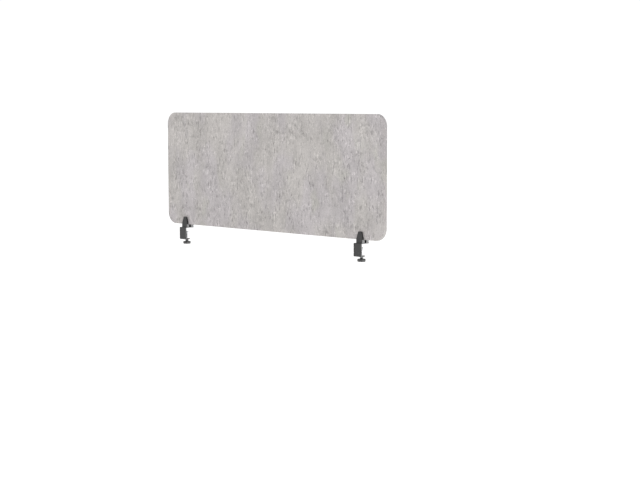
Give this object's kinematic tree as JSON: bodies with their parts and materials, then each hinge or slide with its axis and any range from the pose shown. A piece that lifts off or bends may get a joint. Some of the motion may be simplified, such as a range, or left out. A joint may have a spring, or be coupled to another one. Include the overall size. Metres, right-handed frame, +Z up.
{
  "type": "desk privacy panel",
  "caption": "Felt-faced privacy panel for the back of a desk, held on the desk's edge by two screw clamps with sliding jaws and star knobs.",
  "frame": {"origin": "halfway between the two clamps, on the top outer edge of the desk they clamp: z = 0 is the desk's surface and y = 0 its back edge face", "axes": "+X along the panel, +Y towards the person at the desk, +Z up"},
  "size_m": [1.6, 0.0709, 0.706],
  "materials": {
    "felt": "heathered grey polyester felt, matt, needle-punched",
    "core": "pressed polyester fibre board",
    "black_coat": "charcoal textured powder coat on die-cast metal",
    "black_plastic": "black moulded plastic, fine grain",
    "grip_rubber": "black rubber",
    "zinc_steel": "bright zinc plate",
    "brass_insert": "turned brass"
  },
  "bodies": {
    "panel": {"outer_felt": "felt", "core_board": "core", "inner_felt": "felt"},
    "left_clamp": {"left_clamp_body": "black_coat", "left_outer_jaw_pad": "grip_rubber", "left_foot_pad": "grip_rubber", "left_jaw_insert": "brass_insert", "left_screw_insert": "brass_insert"},
    "left_jaw": {"left_inner_jaw": "black_coat", "left_inner_jaw_pad": "grip_rubber", "left_jaw_washer": "zinc_steel"},
    "left_jaw_thumbscrew": {"left_jaw_screw": "zinc_steel", "left_jaw_clip": "zinc_steel", "left_jaw_knob": "black_plastic"},
    "left_disc_carrier": {"left_snap_ring": "zinc_steel"},
    "left_screw": {"left_clamp_screw": "zinc_steel", "left_star_knob": "black_plastic"},
    "left_disc": {"left_pressure_disc": "zinc_steel", "left_disc_pad": "grip_rubber"},
    "right_clamp": {"right_clamp_body": "black_coat", "right_outer_jaw_pad": "grip_rubber", "right_foot_pad": "grip_rubber", "right_jaw_insert": "brass_insert", "right_screw_insert": "brass_insert"},
    "right_jaw": {"right_inner_jaw": "black_coat", "right_inner_jaw_pad": "grip_rubber", "right_jaw_washer": "zinc_steel"},
    "right_jaw_thumbscrew": {"right_jaw_screw": "zinc_steel", "right_jaw_clip": "zinc_steel", "right_jaw_knob": "black_plastic"},
    "right_disc_carrier": {"right_snap_ring": "zinc_steel"},
    "right_screw": {"right_clamp_screw": "zinc_steel", "right_star_knob": "black_plastic"},
    "right_disc": {"right_pressure_disc": "zinc_steel", "right_disc_pad": "grip_rubber"}
  },
  "joints": [
    {"name": "left_clamp_position", "type": "slide", "parent": "panel", "child": "left_clamp", "axis": [1, 0, 0], "range_m": [-0.065, 0.56]},
    {"name": "left_jaw_slide", "type": "slide", "parent": "left_clamp", "child": "left_jaw", "axis": [0, 1, 0], "range_m": [0, 0.008]},
    {"name": "left_jaw_thumbscrew_turn", "type": "hinge", "parent": "left_jaw", "child": "left_jaw_thumbscrew", "pos_m": [-0.65, 0.055, 0.0115], "axis": [0, 1, 0], "range_deg": [0, 2880]},
    {"name": "left_disc_travel", "type": "slide", "parent": "left_clamp", "child": "left_disc_carrier", "axis": [0, 0, 1], "range_m": [-0.021, 0.001]},
    {"name": "left_clamp_screw_turn", "type": "hinge", "parent": "left_disc_carrier", "child": "left_screw", "pos_m": [-0.65, 0.024, -0.06], "axis": [0, 0, 1], "range_deg": [-6048, 288]},
    {"name": "left_disc_swivel", "type": "hinge", "parent": "left_disc_carrier", "child": "left_disc", "pos_m": [-0.65, 0.024, -0.0262], "axis": [1, 0, 0], "range_deg": [-4, 4]},
    {"name": "right_clamp_position", "type": "slide", "parent": "panel", "child": "right_clamp", "axis": [1, 0, 0], "range_m": [-0.56, 0.065]},
    {"name": "right_jaw_slide", "type": "slide", "parent": "right_clamp", "child": "right_jaw", "axis": [0, 1, 0], "range_m": [0, 0.008]},
    {"name": "right_jaw_thumbscrew_turn", "type": "hinge", "parent": "right_jaw", "child": "right_jaw_thumbscrew", "pos_m": [0.65, 0.055, 0.0115], "axis": [0, 1, 0], "range_deg": [0, 2880]},
    {"name": "right_disc_travel", "type": "slide", "parent": "right_clamp", "child": "right_disc_carrier", "axis": [0, 0, 1], "range_m": [-0.021, 0.001]},
    {"name": "right_clamp_screw_turn", "type": "hinge", "parent": "right_disc_carrier", "child": "right_screw", "pos_m": [0.65, 0.024, -0.06], "axis": [0, 0, 1], "range_deg": [-6048, 288]},
    {"name": "right_disc_swivel", "type": "hinge", "parent": "right_disc_carrier", "child": "right_disc", "pos_m": [0.65, 0.024, -0.0262], "axis": [1, 0, 0], "range_deg": [-4, 4]}
  ],
  "couplings": [
    {"joint": "left_jaw_thumbscrew_turn", "follows": "left_jaw_slide", "rad_per_m": 6283.2},
    {"joint": "left_clamp_screw_turn", "follows": "left_disc_travel", "rad_per_m": 5026.5},
    {"joint": "right_jaw_thumbscrew_turn", "follows": "right_jaw_slide", "rad_per_m": 6283.2},
    {"joint": "right_clamp_screw_turn", "follows": "right_disc_travel", "rad_per_m": 5026.5}
  ]
}
